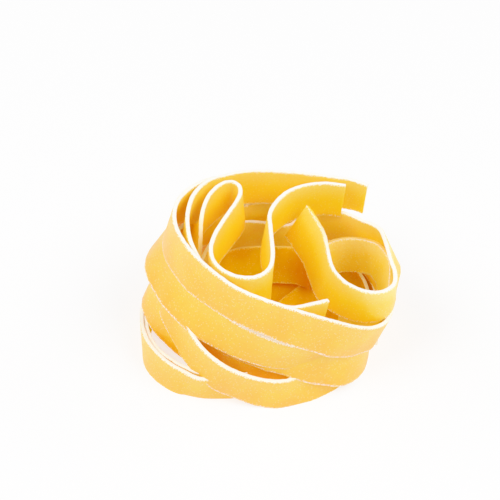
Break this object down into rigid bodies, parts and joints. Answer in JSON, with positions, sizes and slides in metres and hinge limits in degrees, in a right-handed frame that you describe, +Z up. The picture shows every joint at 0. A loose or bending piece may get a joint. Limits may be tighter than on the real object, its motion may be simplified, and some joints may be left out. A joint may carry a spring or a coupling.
{
  "type": "dry pasta nest",
  "caption": "Oval nest of flat dry egg-pasta ribbons, wound in tilted turns round an open hollow, with cut ends and folded loops on top.",
  "frame": {"origin": "middle of the outline, on the surface that the nest rests on", "axes": "+X to the right along the long side of the oval, +Y to the back, +Z up"},
  "size_m": [0.0645, 0.0512, 0.0396],
  "materials": {
    "dry_pasta": "dry egg pasta: golden yellow, smooth and semi-matte on the rolled faces, chalky white along the cut edges"
  },
  "bodies": {
    "root": {"pasta_nest": "dry_pasta"}
  },
  "joints": []
}
